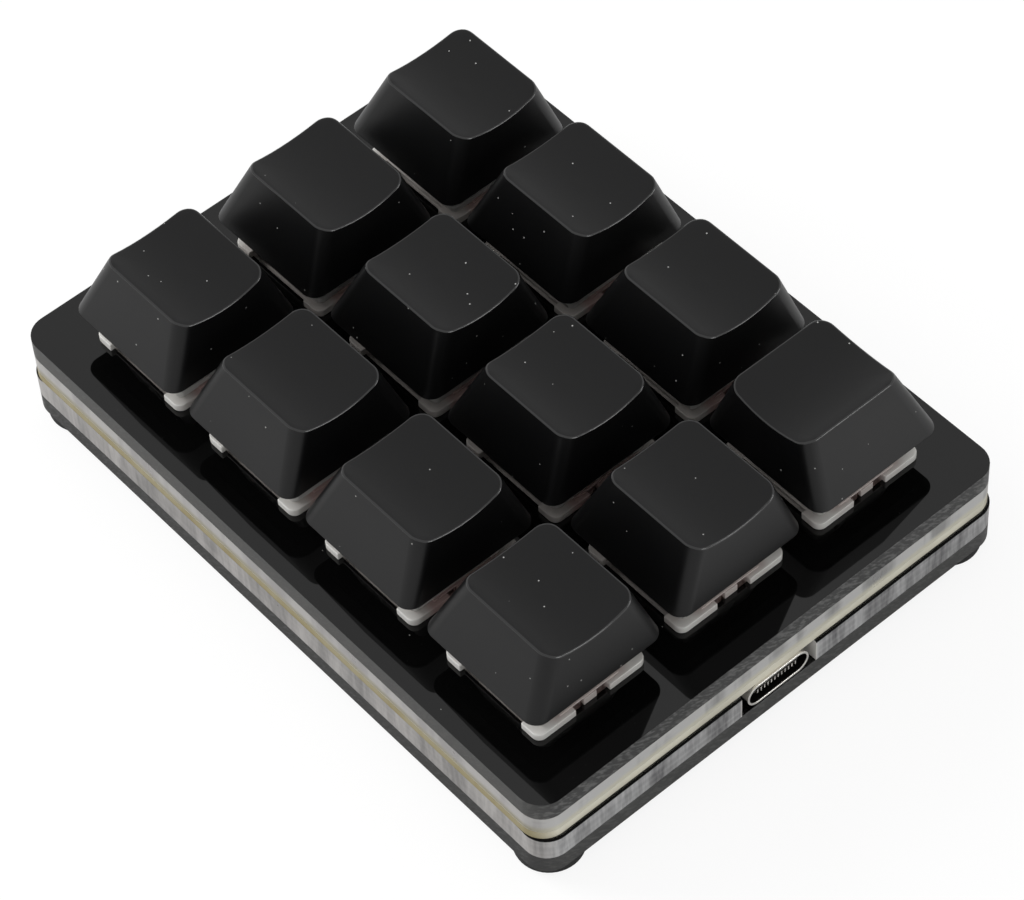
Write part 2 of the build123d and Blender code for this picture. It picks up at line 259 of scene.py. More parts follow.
def rounded_outline(width: float, length: float, radius: float, centre: Flat = (0.0, 0.0),
                    per_corner: int = 9, per_side: int = 6) -> list[Flat]:
    """Rounded rectangle, anticlockwise from its front right corner.

    Args:
        width: Size along X.
        length: Size along Y.
        radius: Corner radius.
        centre: Middle of the rectangle.
        per_corner: Points on each corner arc.
        per_side: Points on each side between the arcs.

    Returns:
        The outline's points.
    """
    arcs = []
    for number, (side_x, side_y) in enumerate(((1, -1), (1, 1), (-1, 1), (-1, -1))):
        x = centre[0] + side_x * (width / 2 - radius)
        y = centre[1] + side_y * (length / 2 - radius)
        turns = [(number - 1 + step / (per_corner - 1)) * math.pi / 2 for step in range(per_corner)]
        arcs.append([(x + radius * math.cos(turn), y + radius * math.sin(turn)) for turn in turns])
    outline = []
    for arc, following in zip(arcs, arcs[1:] + arcs[:1]):
        outline += arc
        first, last = Vector(arc[-1]), Vector(following[0])
        outline += [tuple(first.lerp(last, (step + 1) / (per_side + 1))) for step in range(per_side)]
    return outline


def circle(radius: float, count: int) -> list[Flat]:
    """Points of a circle about the origin, anticlockwise."""
    turns = [2 * math.pi * step / count for step in range(count)]
    return [(radius * math.cos(turn), radius * math.sin(turn)) for turn in turns]


def polygon(corners: Sequence[Flat], per_edge: int) -> list[Flat]:
    """Points along a closed polygon.

    Args:
        corners: Corners in order.
        per_edge: Points on each edge, its first corner among them.

    Returns:
        The polygon's points.
    """
    points = []
    for first, last in zip(corners, [*corners[1:], corners[0]]):
        points += [tuple(Vector(first).lerp(Vector(last), step / per_edge)) for step in range(per_edge)]
    return points


def at_height(outline: Sequence[Flat], z: float) -> list[Point]:
    """The outline as a ring at height z."""
    return [(x, y, z) for x, y in outline]


def loft(rings: Sequence[Sequence[Point]], eased: dict[int, float],
         slots: dict[int, int] | None = None) -> bmesh.types.BMesh:
    """Closed shell through rings with as many points each.

    Args:
        rings: Rings in order, in millimetres. The first and the last are closed by a face.
        eased: Width of the rounding along a ring, by the ring's number.
        slots: Material slot of a rounding, by the ring's number, where it isn't that of its neighbours.

    Returns:
        The shell in metres, facing outwards.
    """
    shell = bmesh.new()
    rows = [[shell.verts.new(Vector(point) * MM) for point in ring] for ring in rings]
    for low, high in zip(rows, rows[1:]):
        for here, there in zip(range(len(low)), [*range(1, len(low)), 0]):
            shell.faces.new((low[here], low[there], high[there], high[here]))
    shell.faces.new(rows[0])
    shell.faces.new(rows[-1])
    bmesh.ops.recalc_face_normals(shell, faces=shell.faces)
    marks = {number: (width, (slots or {}).get(number, -1)) for number, width in eased.items()}
    for mark in sorted(set(marks.values())):
        edges = []
        for row in (rows[number] for number, value in marks.items() if value == mark):
            edges += [shell.edges.get(pair) for pair in zip(row, row[1:] + row[:1])]
        round_edges(shell, edges, *mark)
    return shell


def round_edges(shell: bmesh.types.BMesh, edges: Sequence[bmesh.types.BMEdge], width: float, slot: int = -1) -> None:
    """Rounds some edges of a shell.

    Args:
        shell: The shell.
        edges: Edges to round.
        width: Width of the rounding in millimetres.
        slot: Material slot of the rounding, or -1 for that of its neighbours.
    """
    bmesh.ops.bevel(shell, geom=list(edges), offset=width * MM, offset_type="OFFSET", segments=EDGE_STEPS,
                    profile=ROUND_PROFILE, affect="EDGES", clamp_overlap=True, material=slot)


def add_box(shell: bmesh.types.BMesh, first: Point, last: Point) -> None:
    """Adds a box to a shell.

    Args:
        shell: The shell.
        first: One corner in millimetres.
        last: The opposite corner in millimetres.
    """
    start, stop = Vector(first), Vector(last)
    size = Vector([abs(length) for length in stop - start]) * MM
    spot = Matrix.Translation((start + stop) / 2 * MM)
    bmesh.ops.create_cube(shell, size=1.0, matrix=spot @ Matrix.Diagonal(size.to_4d()))


def sharp_edges(shell: bmesh.types.BMesh) -> list[bmesh.types.BMEdge]:
    """Edges of a shell that lie between two faces at a clear angle."""
    return [edge for edge in shell.edges if edge.is_manifold and edge.calc_face_angle() > SHARP_ANGLE]


def eased_copy(node: str, width: float) -> bmesh.types.BMesh:
    """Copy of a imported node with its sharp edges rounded.

    Args:
        node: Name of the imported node.
        width: Width of the rounding in millimetres.

    Returns:
        The copy, with flat areas joined into single faces.
    """
    shell = bmesh.new()
    shell.from_mesh(frame["nodes"][node].data)
    bmesh.ops.remove_doubles(shell, verts=shell.verts, dist=WELD)
    bmesh.ops.dissolve_limit(shell, angle_limit=FLAT_ANGLE, verts=shell.verts, edges=shell.edges)
    round_edges(shell, sharp_edges(shell), width)
    return shell


def new_object(name: str, shell: bmesh.types.BMesh, *materials: bpy.types.Material) -> bpy.types.Object:
    """Object with the shell as its mesh.

    Args:
        name: Name of the object and of its mesh.
        shell: Shell in metres, which is freed.
        materials: Materials of the mesh's slots.

    Returns:
        The object, linked to the scene.
    """
    mesh = bpy.data.meshes.new(name)
    shell.to_mesh(mesh)
    shell.free()
    for material in materials:
        mesh.materials.append(material)
    piece = bpy.data.objects.new(name, mesh)
    bpy.context.scene.collection.objects.link(piece)
    return piece


def settle(piece: bpy.types.Object) -> None:
    """Turns what the modifiers give into a plain mesh and removes them.

    Args:
        piece: Piece with modifiers.
    """
    graph = bpy.context.evaluated_depsgraph_get()
    mesh = bpy.data.meshes.new_from_object(piece.evaluated_get(graph), preserve_all_data_layers=True,
                                           depsgraph=graph)
    piece.modifiers.clear()
    piece.data = mesh
    mesh.name = piece.name


def smooth(piece: bpy.types.Object) -> None:
    """Shades round stretches smooth and keeps flat ones flat.

    Args:
        piece: Piece with a plain mesh.
    """
    piece.data.shade_smooth()
    piece.data.set_sharp_from_angle(angle=SHARP_ANGLE)
    piece.modifiers.new("Even normals", "WEIGHTED_NORMAL").keep_sharp = True
    settle(piece)


def grown(name: str, shell: bmesh.types.BMesh, tree: bpy.types.NodeTree, values: dict[str, Any]) -> bpy.types.Object:
    """Object made by a geometry tree.

    Args:
        name: Name of the object.
        shell: Shell in metres that is the tree's first input.
        tree: Geometry tree.
        values: Values of the tree's other inputs by name.

    Returns:
        The object, with a plain mesh.
    """
    piece = new_object(name, shell)
    step = piece.modifiers.new(tree.name, "NODES")
    step.node_group = tree
    for item in tree.interface.items_tree:
        if item.item_type == "SOCKET" and item.in_out == "INPUT" and item.name in values:
            step[item.identifier] = values[item.name]
    settle(piece)
    return piece


def place(piece: bpy.types.Object, body: str, slot: str, *nodes: str, even: bool = True) -> None:
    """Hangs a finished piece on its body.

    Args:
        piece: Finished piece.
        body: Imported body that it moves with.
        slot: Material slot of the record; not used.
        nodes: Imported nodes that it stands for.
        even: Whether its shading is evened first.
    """
    if even:
        smooth(piece)
    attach(piece, body)
    if nodes:
        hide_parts(*nodes)
    log.info("%s rides on %s, %d faces", piece.name, body, len(piece.data.polygons))


class Effect(Enum):
    """Surface effects that several finishes share."""

    GRAIN = "Moulded grain"
    SPECKS = "Dust specks"
    STREAKS = "Saw streaks"


def grain_group() -> bpy.types.NodeTree:
    """Fine moulded grain.

    Returns:
        The group, with a height for bump and a slow tone for colour and gloss.
    """
    graph = Graph(Effect.GRAIN.value, "ShaderNodeTree")
    vector = graph.take("Vector", "Vector")
    scale, slow = graph.take("Scale", default=5000.0), graph.take("Slow Scale", default=60.0)
    for name, size, detail in (("Height", scale, FINE_DETAIL), ("Tone", slow, TONE_DETAIL)):
        graph.give(name, graph.add("ShaderNodeTexNoise", {"Vector": vector, "Scale": size, "Detail": detail}))
    return graph.tree


def specks_group() -> bpy.types.NodeTree:
    """Sparse dust.

    Returns:
        The group, with a mask that is one on a few small specks.
    """
    graph = Graph(Effect.SPECKS.value, "ShaderNodeTree")
    vector = graph.take("Vector", "Vector")
    scale = graph.take("Scale", default=500.0)
    size, share = graph.take("Size", default=0.03), graph.take("Share", default=0.1)
    cells = graph.node("ShaderNodeTexVoronoi", {"Vector": vector, "Scale": scale}).outputs
    near = graph.combine("LESS_THAN", cells["Distance"], size)
    few = graph.combine("LESS_THAN", graph.add("ShaderNodeSeparateColor", {0: cells["Color"]}), share)
    graph.give("Mask", graph.combine("MULTIPLY", near, few))
    return graph.tree


def streaks_group() -> bpy.types.NodeTree:
    """Marks of a cut edge.

    Returns:
        The group, with fine leaning marks, and broad bands that stand upright or lie along the sheet.
    """
    graph = Graph(Effect.STREAKS.value, "ShaderNodeTree")
    vector, lean = graph.take("Vector", "Vector"), graph.take("Lean", "Vector")
    stretch = graph.take("Stretch", "Vector", (1.0, 1.0, 8.0))
    scale, broad = graph.take("Scale", default=1500.0), graph.take("Broad Scale", default=180.0)
    layered = graph.take("Layered", default=0.0)
    tilted = graph.add("ShaderNodeMapping", {"Vector": vector, "Rotation": lean, "Scale": stretch},
                       vector_type="TEXTURE")
    flat = graph.add("ShaderNodeMapping", {"Vector": vector, "Scale": LAYER_SCALE})
    fine, upright, lying = (
        graph.add("ShaderNodeTexNoise", {"Vector": spot, "Scale": size, "Detail": detail})
        for spot, size, detail in ((tilted, scale, MARK_DETAIL), (tilted, broad, MARK_DETAIL),
                                   (flat, broad, FINE_DETAIL)))
    graph.give("Fine", fine)
    graph.give("Bands", graph.add("ShaderNodeMix", {"Factor": layered, "A": upright, "B": lying}))
    return graph.tree


@cache
def effect_tree(effect: Effect) -> bpy.types.NodeTree:
    """The shader group of an effect, built on first use."""
    return {Effect.GRAIN: grain_group, Effect.SPECKS: specks_group, Effect.STREAKS: streaks_group}[effect]()


class Surface(Nodes):
    """A material with one Principled shader, built up step by step."""

    def __init__(self, name: str, **sockets: Any) -> None:
        """Starts the material.

        Args:
            name: Name of the material.
            sockets: Constant values by socket name, with underscores for spaces.
        """
        self.material = bpy.data.materials.new(name)
        self.material.use_nodes = True
        super().__init__(self.material.node_tree)
        self.shader = self.tree.nodes["Principled BSDF"]
        for key, value in sockets.items():
            self.feed(key.replace("_", " "), value)

    @cached_property
    def coords(self) -> Any:
        """Socket with the Object coordinates."""
        return self.node("ShaderNodeTexCoord").outputs["Object"]

    def effect(self, effect: Effect, **values: Any) -> Any:
        """Adds a shared effect on Object coordinates.

        Args:
            effect: Which effect.
            values: Values of its inputs, with underscores for spaces.

        Returns:
            The effect's outputs.
        """
        inputs = {key.replace("_", " "): value for key, value in values.items()}
        inputs["Vector"] = self.coords
        return self.node("ShaderNodeGroup", inputs, node_tree=effect_tree(effect)).outputs

    def ramp(self, axis: str, bounds: Flat, mirrored: bool = True, period: float = 0.0) -> Any:
        """Mask by the place along an axis.

        Args:
            axis: X, Y or Z.
            bounds: Places in millimetres at which the mask is zero and one.
            mirrored: Whether the mask is the same on both sides of the middle.
            period: Distance in millimetres at which a mirrored mask comes again, or zero.

        Returns:
            The socket with the mask.
        """
        reach = self.node("ShaderNodeSeparateXYZ", {0: self.coords}).outputs[axis]
        if mirrored:
            reach = self.combine("ABSOLUTE", reach)
        if period:
            reach = self.combine("PINGPONG", reach, period / 2 * MM)
        start, stop = bounds
        if start < stop:
            return self.spread(reach, 0.0, 1.0, start * MM, stop * MM)
        return self.spread(reach, 1.0, 0.0, stop * MM, start * MM)

    def feed(self, socket: str, value: Any) -> None:
        """Gives one of the shader's sockets its source or constant."""
        self.fill(self.shader.inputs[socket], value)

    def bump(self, height: Any, depth: float) -> None:
        """Bends the shading normal by a height, of which one is as high as the depth in millimetres."""
        self.feed("Normal", self.add("ShaderNodeBump", {"Strength": 1.0, "Distance": depth * MM, "Height": height}))


@dataclass(frozen=True)
class Moulded:
    """Moulded plastic or rubber: grain, a slow change of tone and a little dust."""

    name: str
    colour: Colour
    shade: Colour
    rough: Flat
    gloss: float = 0.5
    grain: float = 5000.0
    depth: float = 0.004
    dust: Colour = (0.4, 0.4, 0.39)
    dust_share: float = 0.0
    dust_size: float = 0.03
    clear: float = 0.0
    # Painted shade: the next fields darken the plastic inside the key field, where shade falls between the keys, and
    # lay a reddish shade near each key's middle for the red stem seen through the cover.
    painted_shade: Colour | None = None
    painted_stem_shade: Colour | None = None
    painted_stem_shade_bounds: Flat = (5.6, 4.6)
    key_field: tuple[Flat, Flat] = ((27.9, 26.0), (37.9, 36.0))
    period: float = 20.0

    def material(self) -> bpy.types.Material:
        """Builds the material, with painted shade between the keys and a painted reddish shade, for the red stem seen
        through the cover, near each key's middle.

        Returns:
            The material.
        """
        surface = Surface(self.name, Specular_IOR_Level=self.gloss, Transmission_Weight=self.clear)
        grain = surface.effect(Effect.GRAIN, Scale=self.grain)
        colour = surface.blend(surface.spread(grain["Tone"], 0.0, 1.0), self.colour, self.shade)
        if self.dust_share:
            specks = surface.effect(Effect.SPECKS, Share=self.dust_share, Size=self.dust_size)
            colour = surface.blend(specks["Mask"], colour, self.dust)
        # Painted shade between the keys, and a painted reddish shade for the red stem seen through the cover.
        if self.painted_shade and self.painted_stem_shade:
            across, along = self.key_field
            inside = surface.combine("MULTIPLY", surface.ramp("X", across), surface.ramp("Y", along))
            colour = surface.blend(inside, colour, self.painted_shade)
            middle = surface.ramp("X", self.painted_stem_shade_bounds, period=self.period)
            colour = surface.blend(surface.combine("MULTIPLY", inside, middle), colour, self.painted_stem_shade)
        surface.feed("Base Color", colour)
        surface.feed("Roughness", surface.spread(grain["Tone"], *self.rough))
        surface.bump(grain["Height"], self.depth)
        return surface.material


@dataclass(frozen=True)
class Polished:
    """Polished sheet face: mirror gloss with faint smears and a little dust."""

    name: str
    colour: Colour
    rough: Flat
    gloss: float = 0.5
    clear: float = 0.0
    dust: Colour = (0.4, 0.4, 0.38)
    dust_share: float = 0.05
    grain: float = 900.0
    smear: float = 45.0

    def material(self) -> bpy.types.Material:
        """Builds the material.

        Returns:
            The material.
        """
        surface = Surface(self.name, Specular_IOR_Level=self.gloss, Transmission_Weight=self.clear, IOR=ACRYLIC_IOR)
        grain = surface.effect(Effect.GRAIN, Scale=self.grain, Slow_Scale=self.smear)
        specks = surface.effect(Effect.SPECKS, Share=self.dust_share)
        surface.feed("Base Color", surface.blend(specks["Mask"], self.colour, self.dust))
        surface.feed("Roughness", surface.spread(grain["Tone"], *self.rough))
        return surface.material


@dataclass(frozen=True)
class Sawn:
    """Cut edge of a sheet: marks in two tones, with tones of their own on the long sides and in a notch. The long
    sides' tones are set apart from the ends' partly as painted light and shade, for how differently each side is lit.
    """

    name: str
    colour: Colour
    mark: Colour
    side_colour: Colour
    side_mark: Colour
    rough: Flat
    gloss: float = 0.5
    clear: float = 0.0
    depth: float = 0.02
    scale: float = 1500.0
    broad: float = 180.0
    hatched: float = 0.0
    layered: float = 0.0
    lean: Point = (0.0, 0.0, 0.0)
    stretch: Point = (1.0, 1.0, 8.0)
    contrast: Flat = (0.4, 0.6)
    sides: Flat = (31.0, 33.3)
    notch: Flat = (-1.0, -2.0)
    back: Flat = (20.0, 30.0)
    notch_colour: Colour = (0.5, 0.5, 0.5)
    lower: Flat = (-1.0, -2.0)
    lower_colour: Colour = (0.5, 0.5, 0.5)
    side_lower_colour: Colour = (0.5, 0.5, 0.5)

    def material(self) -> bpy.types.Material:
        """Builds the material. Bounds below zero leave out the notch or the lower tone.

        Returns:
            The material.
        """
        surface = Surface(self.name, Specular_IOR_Level=self.gloss, Transmission_Weight=self.clear, IOR=ACRYLIC_IOR)
        streaks = surface.effect(Effect.STREAKS, Scale=self.scale, Broad_Scale=self.broad, Layered=self.layered,
                                 Lean=self.lean, Stretch=self.stretch)
        bands = surface.spread(streaks["Bands"], 0.0, 1.0 - self.hatched, *self.contrast)
        hatch = surface.spread(streaks["Fine"], 0.0, self.hatched, *self.contrast)
        marks = surface.combine("ADD", bands, hatch)
        low = surface.ramp("Z", self.lower)
        ends = surface.blend(low, surface.blend(marks, self.colour, self.mark), self.lower_colour)
        sides = surface.blend(low, surface.blend(marks, self.side_colour, self.side_mark), self.side_lower_colour)
        # The long sides' tones differ from the ends' partly as painted light and shade, for how differently each side
        # is lit.
        colour = surface.blend(surface.ramp("X", self.sides), ends, sides)
        behind = surface.ramp("Y", self.back, mirrored=False)
        notch = surface.combine("MULTIPLY", surface.ramp("X", self.notch), behind)
        surface.feed("Base Color", surface.blend(notch, colour, self.notch_colour))
        surface.feed("Roughness", surface.spread(streaks["Fine" if self.depth else "Bands"], *self.rough))
        if self.depth:
            surface.bump(streaks["Fine"], self.depth)
        return surface.material


@dataclass(frozen=True)
class Plated:
    """Drawn or plated metal with fine drawing lines."""

    name: str
    colour: Colour
    shade: Colour
    rough: Flat
    depth: float = 0.002
    scale: float = 6000.0
    broad: float = 700.0

    def material(self) -> bpy.types.Material:
        """Builds the material.

        Returns:
            The material.
        """
        surface = Surface(self.name, Metallic=1.0)
        streaks = surface.effect(Effect.STREAKS, Scale=self.scale, Broad_Scale=self.broad)
        surface.feed("Base Color", surface.blend(surface.spread(streaks["Bands"], 0.0, 1.0), self.colour, self.shade))
        surface.feed("Roughness", surface.spread(streaks["Fine"], *self.rough))
        surface.bump(streaks["Fine"], self.depth)
        return surface.material


Finish = Moulded | Polished | Sawn | Plated

CAP_PLASTIC = Moulded("cap plastic", (0.0028, 0.0028, 0.003), (0.0036, 0.0036, 0.0038), (0.34, 0.42), gloss=0.3,
                      grain=6000.0, dust_share=0.9, dust_size=0.045)
CAP_EDGE = Moulded("cap edge", (0.003, 0.003, 0.0032), (0.004, 0.004, 0.0042), (0.14, 0.2), gloss=0.75,
                   depth=0.001)
# The switch plastic carries painted shade between the keys and a painted reddish shade near each key's middle.
WHITE_PLASTIC = Moulded("white switch plastic", (0.90, 0.89, 0.855), (0.86, 0.85, 0.81), (0.32, 0.42),
                        painted_shade=(0.48, 0.45, 0.425), painted_stem_shade=(0.41, 0.29, 0.27))
MILKY_PLASTIC = Moulded("milky switch plastic", (0.82, 0.81, 0.79), (0.76, 0.75, 0.72), (0.22, 0.32), clear=0.45)
# Painted shade: dark reddish brown for the recesses' walls, where shade falls and the red stem shows through.
RECESS_PAINTED_SHADE = Moulded("switch recess painted shade", (0.15, 0.095, 0.08), (0.11, 0.065, 0.055), (0.3, 0.4))
RED_PLASTIC = Moulded("red stem plastic", (0.55, 0.02, 0.02), (0.45, 0.015, 0.015), (0.28, 0.38))
BLACK_PLASTIC = Moulded("black socket plastic", (0.008, 0.008, 0.008), (0.012, 0.012, 0.012), (0.35, 0.5))
CHIP_RESIN = Moulded("chip resin", (0.015, 0.015, 0.016), (0.022, 0.022, 0.022), (0.5, 0.65), grain=9000.0)
FOOT_RUBBER = Moulded("foot rubber", (0.012, 0.012, 0.012), (0.018, 0.018, 0.018), (0.6, 0.75), gloss=0.35)
TAN_CERAMIC = Moulded("capacitor ceramic", (0.50, 0.38, 0.25), (0.42, 0.31, 0.2), (0.4, 0.55))
BOARD_LACQUER = Moulded("board lacquer", (0.78, 0.78, 0.75), (0.72, 0.72, 0.69), (0.3, 0.4))
SHADOW_GAP = Moulded("shadow gap", (0.004, 0.004, 0.004), (0.006, 0.006, 0.006), (0.8, 0.9), gloss=0.05)
BLACK_FACE = Polished("black sheet face", (0.002, 0.002, 0.002), (0.015, 0.04), gloss=0.47, dust_share=0.3)
CLEAR_FACE = Polished("clear sheet face", (0.96, 0.97, 0.96), (0.01, 0.04), clear=1.0, dust_share=0.0)
# Each edge finish's long-side tones partly paint in how differently the sides are lit.
BLACK_EDGE = Sawn("black sheet edge", (0.005, 0.005, 0.005), (0.115, 0.115, 0.112), (0.010, 0.010, 0.009),
                  (0.062, 0.061, 0.057), (0.35, 0.6), scale=4000.0, hatched=0.9, lean=(0.6, -0.6, 0.0),
                  stretch=(4.0, 4.0, 1.0), contrast=(0.46, 0.64))
BASE_EDGE = replace(BLACK_EDGE, name="base sheet edge", colour=(0.034, 0.034, 0.033), mark=(0.09, 0.09, 0.087),
                    side_colour=(0.004, 0.004, 0.004), side_mark=(0.023, 0.0225, 0.021), gloss=0.36)
UPPER_EDGE = Sawn("upper frame edge", (0.34, 0.337, 0.33), (0.67, 0.665, 0.65), (0.345, 0.33, 0.325),
                  (0.49, 0.475, 0.46), (0.25, 0.45), clear=0.25, depth=0.0, broad=300.0, layered=0.15,
                  contrast=(0.43, 0.55), lower=(9.5, 8.75), lower_colour=(0.80, 0.77, 0.62),
                  side_lower_colour=(0.31, 0.28, 0.185))
LOWER_EDGE = Sawn("lower frame edge", (0.12, 0.118, 0.124), (0.62, 0.62, 0.62), (0.18, 0.17, 0.165),
                  (0.49, 0.47, 0.455), (0.25, 0.45), clear=0.25, depth=0.0, scale=2200.0, broad=300.0,
                  hatched=0.3, layered=0.2, notch=(5.7, 5.45), notch_colour=(0.82, 0.80, 0.76))
BOARD_EDGE = Sawn("board edge", (0.66, 0.63, 0.52), (0.76, 0.73, 0.60), (0.245, 0.20, 0.085),
                  (0.30, 0.262, 0.15), (0.5, 0.65), layered=0.3)
NICKEL = Plated("socket nickel", (0.78, 0.76, 0.72), (0.70, 0.68, 0.64), (0.16, 0.28))
GOLD = Plated("contact plating", (0.83, 0.64, 0.32), (0.76, 0.58, 0.28), (0.2, 0.3))
DULL_BRASS = Plated("socket strips", (0.10, 0.08, 0.05), (0.07, 0.055, 0.035), (0.4, 0.55))
SPRING_STEEL = Plated("spring wire", (0.60, 0.60, 0.60), (0.52, 0.52, 0.52), (0.2, 0.3))
BLACK_STEEL = Plated("blackened steel", (0.06, 0.06, 0.06), (0.04, 0.04, 0.04), (0.3, 0.45))
# Painted shade: near-black for the socket's inner wall, where shade falls.
SOCKET_PAINTED_SHADE = Plated("socket inside painted shade", (0.012, 0.011, 0.01), (0.02, 0.018, 0.016), (0.4, 0.6))


@cache
def coat(finish: Finish) -> bpy.types.Material:
    """The material of a finish, built on first use."""
    return finish.material()


def dress_copy(name: str, node: str, body: str, slot: str, finish: Finish, ease: float) -> None:
    """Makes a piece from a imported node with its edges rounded, dresses it and hangs it."""
    place(new_object(name, eased_copy(node, ease), coat(finish)), body, slot, node)


@cache
def grid_tree() -> bpy.types.NodeTree:
    """Geometry tree that repeats a piece's own mesh in rows and columns.

    Returns:
        The tree.
    """
    graph = GeometryGraph("Rows and columns")
    graph.give("Geometry", graph.dress(graph.lattice(graph.mesh)), "Geometry")
    return graph.tree


@cache
def sheet_tree() -> bpy.types.NodeTree:
    """Geometry tree of a cut sheet: round corners, a pattern of openings, an optional notch, two finishes.

    Returns:
        The tree.
    """
    graph = GeometryGraph("Cut sheet")
    width, length, corner, thickness, base, open_width, open_length, open_radius, hole_radius = (
        graph.take(name) for name in (
            "Width", "Length", "Corner Radius", "Thickness", "Base Height", "Opening Width", "Opening Length",
            "Opening Radius", "Screw Hole Radius"))
    notch_size, notch_place = (graph.take(name, "Vector") for name in ("Notch Size", "Notch Place"))

    outline = graph.rounded(width, length, corner, CORNER_STEPS)
    openings = graph.lattice(graph.rounded(open_width, open_length, open_radius, OPENING_STEPS))
    ring = graph.add("GeometryNodeCurvePrimitiveCircle", {"Resolution": HOLE_POINTS, "Radius": hole_radius})
    holes = graph.lattice(ring, "Screw ", columns=0)
    floor = graph.add("GeometryNodeFillCurve", {"Curve": graph.join(outline, openings, holes)}, mode="NGONS")
    up = graph.add("ShaderNodeCombineXYZ", {"Z": thickness})
    raised = graph.add("GeometryNodeExtrudeMesh", {"Mesh": floor, "Offset": up, "Offset Scale": 1.0,
                                                   "Individual": False}, mode="FACES")
    closed = graph.join(raised, graph.add("GeometryNodeFlipFaces", {"Mesh": floor}))
    welded = graph.add("GeometryNodeMergeByDistance", {"Geometry": closed, "Distance": WELD})
    lift = graph.add("ShaderNodeCombineXYZ", {"Z": base})
    lifted = graph.add("GeometryNodeSetPosition", {"Geometry": welded, "Offset": lift})

    cutter = graph.add("GeometryNodeMeshCube", {"Size": notch_size})
    put = graph.add("GeometryNodeTransform", {"Geometry": cutter, "Translation": notch_place})
    cut = graph.add("GeometryNodeMeshBoolean", {0: lifted, 1: put}, operation="DIFFERENCE", solver="EXACT")
    reach = graph.node("ShaderNodeVectorMath", {0: notch_size}, operation="LENGTH").outputs["Value"]
    wanted = graph.add("FunctionNodeCompare", {0: reach, 1: WELD}, operation="GREATER_THAN")
    chosen = graph.add("GeometryNodeSwitch", {"Switch": wanted, "False": lifted, "True": cut},
                       input_type="GEOMETRY")

    normal = graph.add("GeometryNodeInputNormal")
    rise = graph.combine("ABSOLUTE", graph.node("ShaderNodeSeparateXYZ", {0: normal}).outputs["Z"])
    is_edge = graph.add("FunctionNodeCompare", {0: rise, 1: STEEP}, operation="LESS_THAN")
    real = graph.add("GeometryNodeRealizeInstances", {"Geometry": chosen})
    edged = graph.dress(graph.dress(real, "Face Finish"), "Edge Finish", is_edge)
    graph.give("Geometry", edged, "Geometry")
    return graph.tree


@cache
def coil_tree() -> bpy.types.NodeTree:
    """Geometry tree of a coil spring that stands on its place.

    Returns:
        The tree.
    """
    graph = GeometryGraph("Coil spring")
    coils, radius, height, wire = (graph.take(name) for name in ("Coils", "Radius", "Height", "Wire Radius"))
    spot = graph.take("Place", "Vector")
    line = graph.add("GeometryNodeCurveSpiral", {"Resolution": COIL_POINTS, "Rotations": coils, "Height": height,
                                                 "Start Radius": radius, "End Radius": radius})
    moved = graph.add("GeometryNodeTransform", {"Geometry": line, "Translation": spot})
    profile = graph.add("GeometryNodeCurvePrimitiveCircle", {"Resolution": WIRE_POINTS, "Radius": wire})
    tube = graph.add("GeometryNodeCurveToMesh", {"Curve": moved, "Profile Curve": profile, "Fill Caps": True})
    even = graph.add("GeometryNodeSetShadeSmooth", {"Geometry": tube})
    real = graph.add("GeometryNodeRealizeInstances", {"Geometry": even})
    graph.give("Geometry", graph.dress(real), "Geometry")
    return graph.tree


def lattice_values(counts: tuple[int, int], first: Point, steps: Flat, prefix: str = "") -> dict[str, Any]:
    """Inputs of a lattice.

    Args:
        counts: Numbers of columns and rows.
        first: Place of the first copy, in metres.
        steps: Distances between columns and between rows, in metres.
        prefix: Word before the inputs' names.

    Returns:
        Values by input name.
    """
    values = {"Columns": counts[0], "Rows": counts[1], "First Place": first,
              "Column Step": (steps[0], 0.0, 0.0), "Row Step": (0.0, steps[1], 0.0)}
    return {prefix + name: value for name, value in values.items()}


def corner_values(node: str, radius: float, z: float, prefix: str = "") -> dict[str, Any]:
    """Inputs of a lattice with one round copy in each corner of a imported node's box.

    Args:
        node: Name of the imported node.
        radius: Radius of a copy in millimetres.
        z: Height of the lattice in metres.
        prefix: Word before the inputs' names.

    Returns:
        Values by input name.
    """
    low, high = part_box(node)
    reach = radius * MM
    steps = (high.x - low.x - 2 * reach, high.y - low.y - 2 * reach)
    return lattice_values((2, 2), (low.x + reach, low.y + reach, z), steps, prefix)


def key_names() -> list[str]:
    """Names of the keys, such as r1c1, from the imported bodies."""
    return sorted(body.removeprefix("key_") for body in frame["bodies"] if body.startswith("key_"))


def key_place(key: str) -> Flat:
    """Middle of a key in plan, in metres."""
    low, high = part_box(f"keycap_{key}")
    return (low.x + high.x) / 2, (low.y + high.y) / 2


def key_values(z: float) -> dict[str, Any]:
    """Inputs of a lattice over all keys.

    Args:
        z: Height of the lattice in metres.

    Returns:
        Values by input name.
    """
    places = zip(*(key_place(key) for key in key_names()))
    xs, ys = (sorted({round(spot, PLACE_DIGITS) for spot in line}) for line in places)
    return lattice_values((len(xs), len(ys)), (xs[0], ys[0], z), (xs[1] - xs[0], ys[1] - ys[0]))


class Opening(Enum):
    """What is cut out of a sheet."""

    KEYS = "one square for each key"
    WINDOW = "one window round all switches"
    AS_PACKED = "the holes of the packed node"


@dataclass
class Sheet:
    """One sheet of the case."""

    name: str
    node: str
    slot: str
    opening: Opening
    face: Polished | Moulded
    edge: Sawn
    ease: float = 0.12
    gap: float = 0.0
    ledge: float = 0.0
    notched: bool = False


